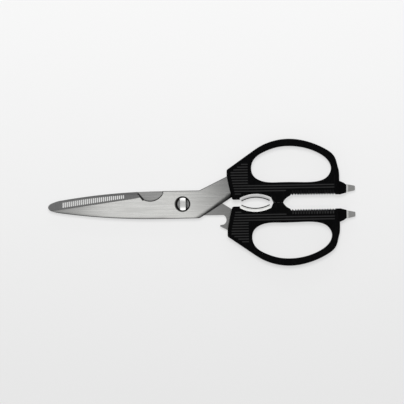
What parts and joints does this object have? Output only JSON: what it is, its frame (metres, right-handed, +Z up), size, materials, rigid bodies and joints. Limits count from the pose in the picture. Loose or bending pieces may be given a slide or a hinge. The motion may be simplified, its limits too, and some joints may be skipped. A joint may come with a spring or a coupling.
{
  "type": "kitchen shears",
  "caption": "Take-apart kitchen shears with a bone notch, scaler strokes, lid lifter, nut cracker jaws, toothed cap grip and screwdriver tips on black finger loops.",
  "frame": {"origin": "middle of the overall box in X and Y, on the plane that the shears lie on (the handles' rear faces)", "axes": "+X from the blade tips to the screwdriver tips, +Y towards the upper finger loop and the cutting edge of the front blade, +Z up along the pivot, out of the front blade's face"},
  "size_m": [0.229, 0.0946, 0.011],
  "materials": {
    "blade_steel": "satin brushed stainless steel",
    "polished_steel": "polished stainless steel",
    "handle_plastic": "black moulded plastic with a fine matt grain"
  },
  "bodies": {
    "rear_half": {"rear_blade": "blade_steel", "pivot_stud": "polished_steel", "lower_handle": "handle_plastic", "lower_jaw_insert": "polished_steel", "lower_screwdriver_tip": "blade_steel"},
    "front_half": {"front_blade": "blade_steel", "upper_handle": "handle_plastic", "upper_jaw_insert": "polished_steel", "upper_screwdriver_tip": "blade_steel"}
  },
  "joints": [
    {"name": "blade_pivot", "type": "hinge", "parent": "rear_half", "child": "front_half", "pos_m": [-0.01401, 0, 0.0055], "axis": [0, 0, 1], "range_deg": [0, 95]}
  ]
}
